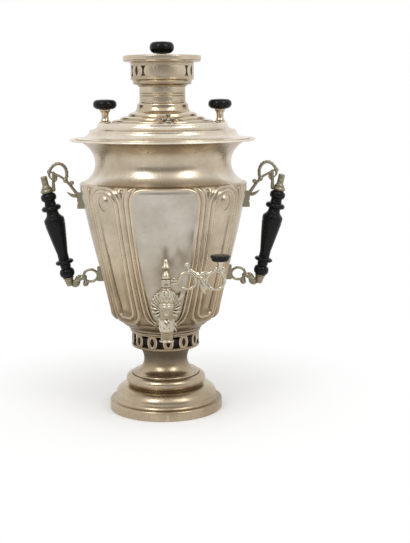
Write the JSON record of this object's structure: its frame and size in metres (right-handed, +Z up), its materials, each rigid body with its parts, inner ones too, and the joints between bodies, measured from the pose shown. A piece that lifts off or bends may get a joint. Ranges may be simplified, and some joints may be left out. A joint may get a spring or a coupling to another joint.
{
  "type": "samovar",
  "caption": "Charcoal samovar: panelled urn around a fire tube, lift-off lid and crown, damper cap, plug tap with openwork key, and two turned side handles.",
  "frame": {"origin": "centre of the foot, on the plane that it stands on", "axes": "+Z up along the samovar's axis, -Y towards the tap, +X towards the right handle as seen from the tap"},
  "size_m": [0.321, 0.2474, 0.4801],
  "materials": {
    "nickel": "nickel-plated brass, satin, with brown tarnish in the recesses",
    "tap_nickel": "nickel-plated cast brass, bright",
    "bracket_brass": "cast brass with worn plating",
    "tinned_brass": "tinned and dull",
    "ebonised_wood": "turned hardwood, stained black, polished",
    "cast_iron": "rough, sooty",
    "steel": "plain turned steel"
  },
  "bodies": {
    "vessel": {"skirt": "nickel", "pedestal": "nickel", "air_ring": "nickel", "ash_cup": "cast_iron", "shell": "nickel", "neck": "nickel", "water_floor": "tinned_brass", "firebox": "tinned_brass", "fire_tube": "tinned_brass", "grate": "cast_iron", "rosette": "tap_nickel", "tap_body": "tap_nickel", "upper_bracket_left": "bracket_brass", "upper_bracket_right": "bracket_brass", "lower_bracket_left": "bracket_brass", "lower_bracket_right": "bracket_brass", "grip_left": "ebonised_wood", "grip_right": "ebonised_wood", "grip_rod_left": "steel", "grip_rod_right": "steel", "top_washer_left": "bracket_brass", "top_washer_right": "bracket_brass", "low_washer_left": "bracket_brass", "low_washer_right": "bracket_brass", "cap_nut_left": "bracket_brass", "cap_nut_right": "bracket_brass"},
    "tap_key": {"tap_plug": "tap_nickel", "key_branch": "tap_nickel", "key_button": "ebonised_wood"},
    "lid": {"lid": "nickel", "knob_stem_left": "nickel", "knob_stem_right": "nickel", "lid_knob_left": "ebonised_wood", "lid_knob_right": "ebonised_wood", "knob_bolts": "steel", "vent_seat": "nickel"},
    "steam_vent": {"vent_cap": "tap_nickel", "vent_washer": "steel"},
    "crown": {"crown_sleeve": "nickel", "crown_drum": "nickel", "crown_plate": "nickel"},
    "damper_cap": {"damper": "nickel", "damper_stem": "nickel", "damper_knob": "ebonised_wood"}
  },
  "joints": [
    {"name": "tap_turn", "type": "hinge", "parent": "vessel", "child": "tap_key", "pos_m": [0, -0.115, 0.17], "axis": [0, 0, 1], "range_deg": [-180, 0]},
    {"name": "lid_lift", "type": "slide", "parent": "vessel", "child": "lid", "axis": [0, 0, 1], "range_m": [0, 0.1]},
    {"name": "vent_turn", "type": "hinge", "parent": "lid", "child": "steam_vent", "pos_m": [0.00585, -0.07427, 0.38], "axis": [0, 0, 1], "range_deg": [0, 30]},
    {"name": "crown_lift", "type": "slide", "parent": "lid", "child": "crown", "axis": [0, 0, 1], "range_m": [0, 0.08]},
    {"name": "damper_lift", "type": "slide", "parent": "crown", "child": "damper_cap", "axis": [0, 0, 1], "range_m": [0, 0.06]}
  ]
}
